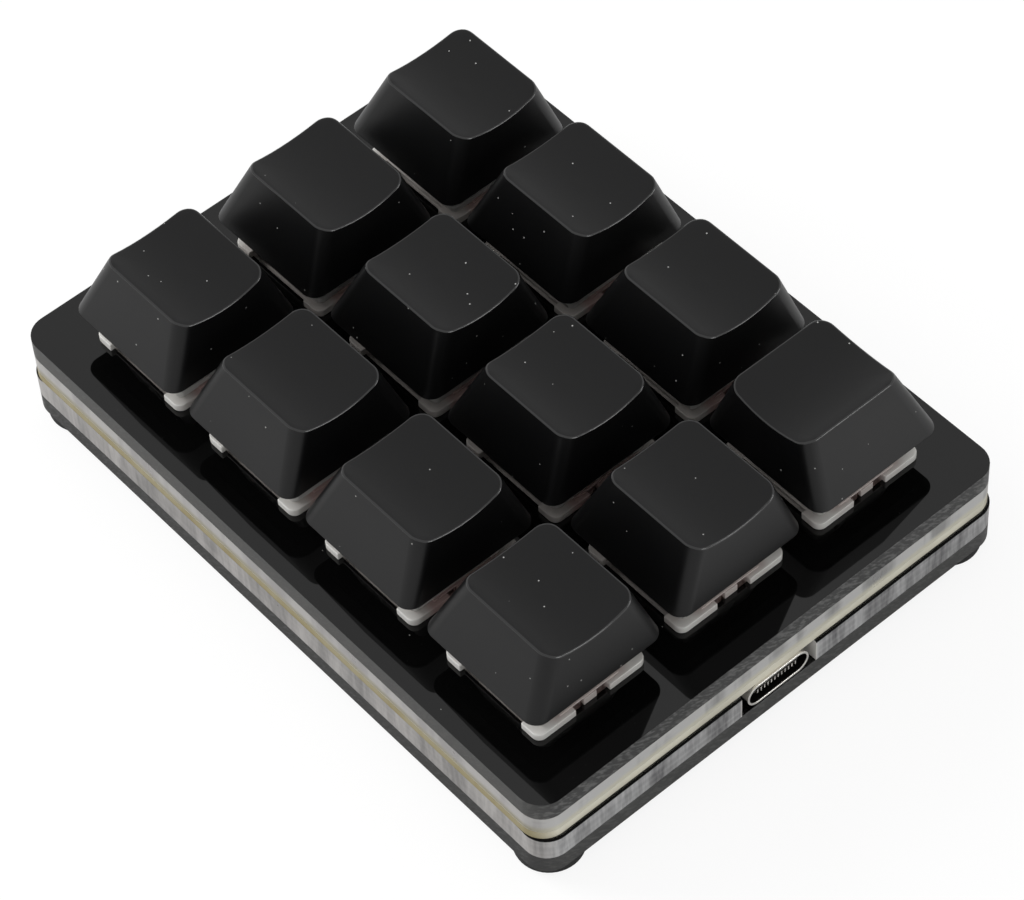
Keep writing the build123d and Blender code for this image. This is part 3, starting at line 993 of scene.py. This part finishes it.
@dataclass
class CaseStack:
    """The stacked sheets of the case, from the deck down to the bottom."""

    corner: float = 3.0
    cutout: float = 14.0
    cutout_corner: float = 0.3
    window: Flat = (55.8, 78.4)
    window_corner: float = 0.5
    screw_head: float = 1.9
    screw_hole: float = 1.1
    notch: float = 10.84
    notch_heights: int = 4
    overrun: float = 1.0
    level: float = 0.01
    sheets: list[Sheet] = field(default_factory=lambda: [
        Sheet("deck_sheet", "top_plate", "black_acrylic", Opening.KEYS, BLACK_FACE, BLACK_EDGE),
        Sheet("upper_frame", "upper_spacer", "clear_acrylic", Opening.WINDOW, CLEAR_FACE, UPPER_EDGE, gap=0.02),
        Sheet("board_sheet", "circuit_board", "board", Opening.AS_PACKED, BOARD_LACQUER, BOARD_EDGE, ease=0.05),
        Sheet("lower_frame", "lower_spacer", "clear_acrylic", Opening.WINDOW, CLEAR_FACE, LOWER_EDGE, ease=0.05,
              gap=0.01, ledge=0.21, notched=True),
        Sheet("base_sheet", "bottom_plate", "black_acrylic", Opening.AS_PACKED, BLACK_FACE, BASE_EDGE),
    ])

    def openings(self, sheet: Sheet) -> dict[str, Any]:
        """Inputs of the sheet tree for what is cut out.

        Args:
            sheet: The sheet.

        Returns:
            Values by input name.
        """
        if sheet.opening is Opening.KEYS:
            return {"Opening Width": self.cutout * MM, "Opening Length": self.cutout * MM,
                    "Opening Radius": self.cutout_corner * MM, **key_values(0.0)}
        return {"Opening Width": self.window[0] * MM, "Opening Length": self.window[1] * MM,
                "Opening Radius": self.window_corner * MM, "Screw Hole Radius": self.screw_hole * MM,
                **corner_values("case_screws", self.screw_head, 0.0, "Screw ")}

    def cut_sheet(self, sheet: Sheet) -> bpy.types.Object:
        """Sheet grown by the geometry tree.

        Args:
            sheet: The sheet.

        Returns:
            The sheet's object.
        """
        low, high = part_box(sheet.node)
        gap = sheet.gap * MM
        values = {
            "Width": high.x - low.x, "Length": high.y - low.y, "Corner Radius": self.corner * MM,
            "Thickness": high.z - low.z - 2 * gap, "Base Height": low.z + gap,
            "Face Finish": coat(sheet.face), "Edge Finish": coat(sheet.edge), **self.openings(sheet),
        }
        if sheet.notched:
            depth = high.y - low.y - (self.window[1] - 2 * self.overrun) * MM
            values["Notch Size"] = (self.notch * MM, depth, self.notch_heights * (high.z - low.z))
            values["Notch Place"] = (0.0, high.y, (low.z + high.z) / 2)
        piece = grown(sheet.name, bmesh.new(), sheet_tree(), values)
        shell = bmesh.new()
        shell.from_mesh(piece.data)
        if sheet.ledge:
            piece.data.materials.append(coat(SHADOW_GAP))
            rim = self.end_edges(shell, high.z - gap, high.y - self.corner * MM)
            round_edges(shell, rim, sheet.ledge, len(piece.data.materials) - 1)
        round_edges(shell, sharp_edges(shell), sheet.ease)
        shell.to_mesh(piece.data)
        shell.free()
        return piece

    def end_edges(self, shell: bmesh.types.BMesh, top: float, reach: float) -> list[bmesh.types.BMEdge]:
        """Upper edges along a sheet's two short ends.

        Args:
            shell: The sheet's shell.
            top: Height of the sheet's upper face.
            reach: Distance from the middle at which the ends start.

        Returns:
            The edges, of which none joins one end to the other.
        """
        rim = [spot for spot in shell.verts if abs(spot.co.z - top) < self.level * MM]
        ends = [{spot for spot in rim if side * spot.co.y > reach} for side in (-1, 1)]
        return [edge for edge in sharp_edges(shell) if any(end.issuperset(edge.verts) for end in ends)]

    @staticmethod
    def packed_sheet(sheet: Sheet) -> bpy.types.Object:
        """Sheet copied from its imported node, with its own finish on the upright faces.

        Args:
            sheet: The sheet.

        Returns:
            The sheet's object.
        """
        shell = eased_copy(sheet.node, sheet.ease)
        shell.normal_update()
        for side in shell.faces:
            side.material_index = int(abs(side.normal.z) < STEEP)
        return new_object(sheet.name, shell, coat(sheet.face), coat(sheet.edge))

    def build(self) -> None:
        """Makes, dresses and hangs every sheet."""
        for sheet in self.sheets:
            make = self.packed_sheet if sheet.opening is Opening.AS_PACKED else self.cut_sheet
            place(make(sheet), CASE, sheet.slot, sheet.node)


@dataclass
class Keycaps:
    """The sculpted caps, each a closed hollow shell with a cross socket."""

    foot: float = 18.0
    top_width: float = 12.0
    top_length: float = 13.9
    set_back: float = 1.3
    height: float = 8.4
    corner: float = 1.8
    dish: float = 1.2
    land: float = 0.25
    wall: float = 1.4
    cavity: float = 5.8
    cavity_corner: float = 0.8
    socket_radius: float = 2.75
    socket_rise: float = 1.4
    cross_long: float = 4.08
    cross_short: float = 1.28
    cross_depth: float = 3.9
    edge: float = 0.17
    skirt: float = 0.35
    foot_round: float = 0.3
    top_rings: int = 9
    wall_rings: int = 4
    rim_tries: int = 8
    turned: str = "r1c1"

    def outline(self, share: float, inset: float = 0.0, radius: float | None = None) -> list[Flat]:
        """Outline of the cap at a share of its height.

        Args:
            share: Share of the height, zero at the foot.
            inset: Distance from the outer wall.
            radius: Corner radius, the cap's own if not given.

        Returns:
            The outline's points.
        """
        width = self.foot + (self.top_width - self.foot) * share - 2 * inset
        length = self.foot + (self.top_length - self.foot) * share - 2 * inset
        return rounded_outline(width, length, radius or self.corner, (0.0, self.set_back * share))

    def dish_height(self, x: float) -> float:
        """Height of the hollow top.

        Args:
            x: Distance from the middle.

        Returns:
            The height above the cap's foot.
        """
        half = self.top_width / 2 - self.land
        radius = half ** 2 / (2 * self.dish) + self.dish / 2
        if abs(x) >= half:
            return self.height
        return self.height - self.dish + radius - math.sqrt(radius ** 2 - x ** 2)

    def wall_ring(self, part: float) -> list[Point]:
        """Ring on the wall, whose lines run from the foot up to the hollow top.

        Args:
            part: Part of the way up to the rim.

        Returns:
            The ring's points.
        """
        ring = []
        for (x0, y0), (x1, y1) in zip(self.outline(0.0), self.outline(1.0)):
            share = 1.0
            for _ in range(self.rim_tries):
                share = self.dish_height(x0 + (x1 - x0) * share) / self.height
            here = share * part
            ring.append((x0 + (x1 - x0) * here, y0 + (y1 - y0) * here, self.height * here))
        return ring

    def cross_outline(self) -> list[Flat]:
        """Outline of the cross hole.

        Returns:
            As many points as the cap's outline has.
        """
        a, b = self.cross_short / 2, self.cross_long / 2
        corners = [(a, -a), (b, -a), (b, a), (a, a), (a, b), (-a, b), (-a, a), (-b, a), (-b, -a), (-a, -a),
                   (-a, -b), (a, -b)]
        return polygon(corners, len(self.outline(0.0)) // len(corners))

    def shell(self) -> bmesh.types.BMesh:
        """The cap about its own middle, with its foot at zero height.

        Returns:
            The shell, with the rim's rounding in the second slot.
        """
        rim = self.wall_ring(1.0)
        middle = Vector((0.0, self.set_back))
        rings = []
        for step in range(1, self.top_rings):
            spots = [middle.lerp(Vector((x, y)), step / self.top_rings) for x, y, _ in rim]
            rings.append([(spot.x, spot.y, self.dish_height(spot.x)) for spot in spots])
        rim_number, foot_number = len(rings), len(rings) + self.wall_rings
        rings.append(rim)
        rings += [self.wall_ring(1 - step / self.wall_rings) for step in range(1, self.wall_rings)]
        post = [tuple(self.socket_radius * Vector(spot).normalized()) for spot in self.outline(0.0)]
        cross = self.cross_outline()
        rings += [at_height(outline, z) for outline, z in (
            (self.outline(-self.skirt / self.height), -self.skirt),
            (self.outline(0.0, self.wall, self.cavity_corner), -self.skirt),
            (self.outline(self.cavity / self.height, self.wall, self.cavity_corner), self.cavity),
            (post, self.cavity),
            (post, self.socket_rise),
            (cross, self.socket_rise),
            (cross, self.socket_rise + self.cross_depth),
        )]
        eased = {rim_number: self.edge, foot_number: self.foot_round, foot_number + 1: self.edge}
        return loft(rings, eased, {rim_number: 1})

    def build(self) -> None:
        """Makes a cap for every key and hangs it on the key's body."""
        for key in key_names():
            node = f"keycap_{key}"
            turn = Matrix.Rotation(-math.pi / 2 if key == self.turned else 0.0, 4, "Z")
            shell = self.shell()
            shell.transform(Matrix.Translation((*key_place(key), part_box(node)[0].z)) @ turn)
            piece = new_object(f"cap_{key}", shell, coat(CAP_PLASTIC), coat(CAP_EDGE))
            place(piece, f"key_{key}", "keycap_black", node)


@dataclass
class Switches:
    """The key switches: bases and covers in one set each, a stem and a coil spring for every key."""

    ease: float = 0.12
    coils: float = 9.0
    wire: float = 0.4
    recess_length: float = 9.64
    recess_back: float = 6.75
    latch_length: float = 4.5
    latch_back: float = 6.7
    latch_block: Flat = (1.8, 7.16)
    recess_span: Flat = (-0.75, 0.86)
    latch_span: Flat = (-0.75, 1.05)
    block_span: Flat = (0.02, 0.98)
    rim_length: float = 8.2
    rim_reach: float = 7.03
    rim_back: float = 6.2
    rim_span: Flat = (0.98, 1.2)
    reach: float = 8.0

    def recesses(self) -> bpy.types.Object:
        """Cutter for the clip and latch recesses round all switches, whose material paints dark reddish shade on the
        cut walls.

        Returns:
            The cutter.
        """
        clip, latch = self.recess_length / 2, self.latch_length / 2
        shell = bmesh.new()
        for side in (-1, 1):
            low, high = self.recess_span
            add_box(shell, (side * self.recess_back, -clip, low), (side * self.reach, clip, high))
            low, high = self.latch_span
            add_box(shell, (-latch, side * self.latch_back, low), (latch, side * self.reach, high))
        return self.repeat("recess_cutter", shell, RECESS_PAINTED_SHADE)

    def rims(self) -> bpy.types.Object:
        """The covers' lower rims and latch blocks, which show under the caps' feet on the latch sides.

        Returns:
            One object with all of them.
        """
        shell = bmesh.new()
        for side in (-1, 1):
            for width, reach, (low, high) in ((self.rim_length, self.rim_reach, self.rim_span),
                                              (*self.latch_block, self.block_span)):
                add_box(shell, (-width / 2, side * self.rim_back, low), (width / 2, side * reach, high))
        round_edges(shell, shell.edges, self.ease / 2)
        return self.repeat("switch_rim_set", shell, WHITE_PLASTIC)

    @staticmethod
    def repeat(name: str, shell: bmesh.types.BMesh, finish: Moulded) -> bpy.types.Object:
        """One object with a shell repeated at the middle of every key, at the deck's height."""
        values = {"Material": coat(finish), **key_values(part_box("top_plate")[1].z)}
        return grown(name, shell, grid_tree(), values)

    def build(self) -> None:
        """Makes and hangs the switch pieces."""
        cutter = self.recesses()
        for name, node, slot, finish in (
            ("switch_base_set", "switch_bases", "switch_white", WHITE_PLASTIC),
            ("switch_cover_set", "switch_covers", "switch_milky", MILKY_PLASTIC),
        ):
            piece = new_object(name, eased_copy(node, self.ease), coat(finish))
            cut = piece.modifiers.new("Recesses", "BOOLEAN")
            # The cut walls take on the cutter's painted shade.
            cut.operation, cut.solver, cut.material_mode = "DIFFERENCE", "EXACT", "TRANSFER"
            cut.object = cutter
            settle(piece)
            place(piece, CASE, slot, node)
        bpy.data.objects.remove(cutter)
        place(self.rims(), CASE, "switch_milky")
        for key in key_names():
            dress_copy(f"slider_{key}", f"stem_{key}", f"key_{key}", "stem_red", RED_PLASTIC, self.ease / 2)
            self.build_coil(key)

    def build_coil(self, key: str) -> None:
        """Makes the spring of one key.

        Args:
            key: Name of the key.
        """
        node = f"spring_{key}"
        low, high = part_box(node)
        x, y = key_place(key)
        wire, length = self.wire * MM, high.z - low.z
        piece = grown(f"coil_{key}", bmesh.new(), coil_tree(), {
            "Coils": self.coils, "Radius": (high.x - low.x - wire) / 2, "Wire Radius": wire / 2,
            "Height": length - wire, "Place": (x, y, low.z + wire / 2), "Material": coat(SPRING_STEEL),
        })
        place(piece, CASE, "spring_steel", node, even=False)
        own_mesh(piece)


@dataclass
class Underside:
    """Rubber feet and case screws, each set repeated from one master."""

    foot_radius: float = 4.0
    foot_round: float = 0.5
    dimple_depth: float = 0.35
    dimple_floor: Flat = (1.4, 2.2)
    dimple_radius: float = 2.8
    dimple_round: float = 0.2
    screw_radius: float = 1.9
    screw_round: float = 0.2
    shank_radius: float = 1.0
    key_radius: float = 0.75
    key_depth: float = 0.8
    key_round: float = 0.06
    head: float = 1.3
    count: int = 48

    def ring(self, radius: float, z: float) -> list[Point]:
        """Round ring about the axis."""
        return at_height(circle(radius, self.count), z)

    def foot(self, height: float) -> bmesh.types.BMesh:
        """One foot about its own axis: rounded lower edge and a shallow dimple.

        Args:
            height: Height of the foot.

        Returns:
            The foot's shell.
        """
        rings = [self.ring(radius, self.dimple_depth) for radius in self.dimple_floor]
        rings += [self.ring(self.dimple_radius, 0.0), self.ring(self.foot_radius, 0.0),
                  self.ring(self.foot_radius, height)]
        return loft(rings, {2: self.dimple_round, 3: self.foot_round})

    def screw(self, length: float) -> bmesh.types.BMesh:
        """One screw about its own axis, head down, with a six-sided socket.

        Args:
            length: Length of the screw.

        Returns:
            The screw's shell.
        """
        corners = circle(self.key_radius / math.cos(math.pi / KEY_SIDES), KEY_SIDES)
        hexagon = polygon(corners, self.count // KEY_SIDES)
        point = self.shank_radius / 2
        rings = [at_height(hexagon, self.key_depth), at_height(hexagon, 0.0)]
        rings += [self.ring(radius, z) for radius, z in (
            (self.screw_radius, 0.0), (self.screw_radius, self.head), (self.shank_radius, self.head),
            (self.shank_radius, length - point), (point, length))]
        return loft(rings, {1: self.key_round, 2: self.screw_round})

    def build(self) -> None:
        """Makes both sets and hangs them on the case."""
        for name, node, slot, finish, maker, radius in (
            ("foot_set", "rubber_feet", "foot_rubber", FOOT_RUBBER, self.foot, self.foot_radius),
            ("screw_set", "case_screws", "screw_steel", BLACK_STEEL, self.screw, self.screw_radius),
        ):
            low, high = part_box(node)
            values = {"Material": coat(finish), **corner_values(node, radius, low.z)}
            place(grown(name, maker((high.z - low.z) / MM), grid_tree(), values), CASE, slot, node)


@dataclass
class Socket:
    """The USB-C socket: shell with painted shade on its inner wall, tongue, and contact strips with bent noses."""

    ease: float = 0.07
    strip_ease: float = 0.03
    lip: float = 0.12
    nose_width: float = 0.16
    nose_height: float = 0.62
    nose_corner: float = 0.08
    nose_drop: float = 0.1
    nose_depth: float = 0.3
    nose_pitch: float = 0.5
    nose_count: int = 12

    def shell(self) -> bmesh.types.BMesh:
        """The drawn shell of the socket.

        Returns:
            The shell, with its inner wall behind the bright lip in the second slot.
        """
        shell = eased_copy("usb_shell", self.ease)
        low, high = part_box("usb_shell")
        lip_y = high.y - self.lip * MM
        bmesh.ops.bisect_plane(shell, geom=[*shell.verts, *shell.edges, *shell.faces], plane_co=(0.0, lip_y, 0.0),
                               plane_no=(0.0, 1.0, 0.0))
        shell.normal_update()
        middle = (low + high) / 2
        for side in shell.faces:
            spot = side.calc_center_median()
            inward = (middle - spot).dot(side.normal) - (middle.y - spot.y) * side.normal.y > 0
            # Inner faces behind the lip take the painted shade.
            side.material_index = int(inward and spot.y < lip_y)
        return shell

    def noses(self) -> bpy.types.Object:
        """The bent ends of the upper strips, in front of the tongue's tip.

        Returns:
            One object with all of them.
        """
        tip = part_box("usb_tongue")[1].y
        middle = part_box("usb_contacts")[1].z - (self.nose_drop + self.nose_height / 2) * MM
        first = -(self.nose_count - 1) / 2 * self.nose_pitch * MM
        outline = rounded_outline(self.nose_width, self.nose_height, self.nose_corner, per_corner=4, per_side=1)
        rings = [[(x, y, z) for x, z in outline] for y in (0.0, self.nose_depth)]
        values = lattice_values((self.nose_count, 1), (first, tip, middle), (self.nose_pitch * MM, 0.0))
        return grown("socket_noses", loft(rings, {1: self.strip_ease}), grid_tree(),
                     {"Material": coat(NICKEL), **values})

    def build(self) -> None:
        """Makes and hangs the socket's pieces."""
        dress_copy("socket_tongue", "usb_tongue", CASE, "socket_insulator", BLACK_PLASTIC, self.ease)
        dress_copy("socket_strips", "usb_contacts", CASE, "contact_metal", DULL_BRASS, self.strip_ease)
        shell = new_object("socket_shell", self.shell(), coat(NICKEL), coat(SOCKET_PAINTED_SHADE))
        place(shell, CASE, "socket_metal", "usb_shell")
        place(self.noses(), CASE, "contact_metal")


@dataclass
class BoardParts:
    """Small parts under the board and the switch contacts."""

    ease: float = 0.08

    def build(self) -> None:
        """Makes and hangs the parts."""
        for name, node, slot, finish in (
            ("chip_body", "controller_chip", "chip_black", CHIP_RESIN),
            ("diode_set", "diodes", "chip_black", CHIP_RESIN),
            ("resistor_set", "resistors", "chip_black", CHIP_RESIN),
            ("capacitor_set", "capacitors", "capacitor_tan", TAN_CERAMIC),
            ("contact_set", "switch_contacts", "contact_metal", GOLD),
        ):
            dress_copy(name, node, CASE, slot, finish, self.ease)


@dataclass(frozen=True)
class Viewpoint:
    """The camera, in millimetres and degrees about the object, with its focal length in pixels of the picture."""

    target: Point = (4.0875, 6.5458, 13.5)
    azimuth: float = 142.0116
    elevation: float = 51.4822
    roll: float = -4.0801
    distance: float = 436.155
    focal: float = 3994.373
    picture_width: int = 1024
    sensor: float = 36.0
    clip: Flat = (10.0, 20000.0)

    def build(self) -> None:
        """Makes the scene's camera."""
        azimuth, elevation, roll = (math.radians(turn) for turn in (self.azimuth, self.elevation, self.roll))
        back = Vector((math.sin(azimuth) * math.cos(elevation), -math.cos(azimuth) * math.cos(elevation),
                       math.sin(elevation)))
        level = Vector((0, 0, 1)).cross(back).normalized()
        upright = back.cross(level)
        right = math.cos(roll) * level + math.sin(roll) * upright
        up = math.cos(roll) * upright - math.sin(roll) * level
        lens = bpy.data.cameras.new("camera")
        lens.sensor_width = self.sensor
        lens.lens = self.focal * self.sensor / self.picture_width
        lens.clip_start, lens.clip_end = (distance * MM for distance in self.clip)
        camera = bpy.data.objects.new("camera", lens)
        spot = Matrix.Translation((Vector(self.target) + back * self.distance) * MM)
        camera.matrix_world = spot @ Matrix((right, up, back)).transposed().to_4x4()
        bpy.context.scene.collection.objects.link(camera)
        bpy.context.scene.camera = camera


@dataclass(frozen=True)
class Lamp:
    """A soft lamp that looks at the object, with its places and sizes in metres."""

    name: str
    place: Point
    size: Flat
    power: float
    aim: Point = (0.0, 0.0, 0.0)
    mirrored: bool = True
    lights: bool = True

    def build(self) -> None:
        """Makes the lamp."""
        light = bpy.data.lights.new(self.name, "AREA")
        light.shape = "RECTANGLE"
        light.size, light.size_y = self.size
        light.energy = self.power
        lamp = bpy.data.objects.new(self.name, light)
        lamp.location = self.place
        lamp.rotation_euler = (Vector(self.place) - Vector(self.aim)).to_track_quat("Z", "Y").to_euler()
        lamp.visible_diffuse = self.lights
        lamp.visible_glossy = self.mirrored
        lamp.visible_camera = False
        bpy.context.scene.collection.objects.link(lamp)


@dataclass
class Studio:
    """Pale floor, white surroundings and soft lamps."""

    floor_size: float = 6000.0
    floor_drop: float = 0.02
    floor_rough: float = 0.9
    floor_colour: Colour = (0.88, 0.88, 0.88)
    floor_seen: Colour = (0.15, 0.15, 0.15)
    floor_lift: float = 0.87
    ambient: float = 0.7
    mirrored: float = 0.74
    lamps: tuple[Lamp, ...] = (
        Lamp("key lamp", (0.46, -0.91, 0.63), (0.6, 0.6), 8.7, mirrored=False),
        Lamp("right lamp", (-0.42, 0.78, 0.5), (0.5, 0.25), 2.4, lights=False),
        Lamp("right card", (-0.05, 0.115, 0.004), (0.11, 0.11), 0.02, aim=(-0.05, 0.115, 1.0), lights=False),
    )

    def build_world(self) -> None:
        """White surroundings: dimmer as light, and where shiny pieces show them."""
        world = bpy.data.worlds.new("studio")
        world.use_nodes = True
        bpy.context.scene.world = world
        nodes = Nodes(world.node_tree)
        path = nodes.node("ShaderNodeLightPath").outputs
        shiny = nodes.spread(path["Is Glossy Ray"], self.ambient, self.mirrored, 0.0, 1.0)
        background = world.node_tree.nodes["Background"].inputs
        nodes.fill(background["Color"], WHITE)
        nodes.fill(background["Strength"], nodes.spread(path["Is Camera Ray"], shiny, 1.0, 0.0, 1.0))

    def build_floor(self) -> None:
        """Pale floor that keeps the object's shadow and turns white where nothing shades it."""
        surface = Surface("floor", Roughness=self.floor_rough, Specular_IOR_Level=0.0, Emission_Color=WHITE)
        seen = surface.node("ShaderNodeLightPath").outputs["Is Camera Ray"]
        surface.feed("Base Color", surface.blend(seen, self.floor_colour, self.floor_seen))
        surface.feed("Emission Strength", surface.combine("MULTIPLY", seen, self.floor_lift))
        half = self.floor_size / 2
        corners = at_height([(-half, -half), (half, -half), (half, half), (-half, half)], -self.floor_drop)
        shell = bmesh.new()
        shell.faces.new([shell.verts.new(Vector(corner) * MM) for corner in corners])
        new_object("floor", shell, surface.material)

    def build(self) -> None:
        """Makes the studio."""
        self.build_world()
        self.build_floor()
        for lamp in self.lamps:
            lamp.build()
        bpy.context.scene.view_settings.view_transform = "Standard"


def main() -> None:
    """Builds the keypad's sub-assemblies and the studio."""
    logging.basicConfig(level=logging.INFO, format="%(name)s: %(message)s")
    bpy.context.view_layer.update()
    for part in (CaseStack(), Keycaps(), Switches(), Socket(), Underside(), BoardParts(), Viewpoint(), Studio()):
        part.build()
        log.info("%s is done", type(part).__name__)


if __name__ == "__main__":
    main()
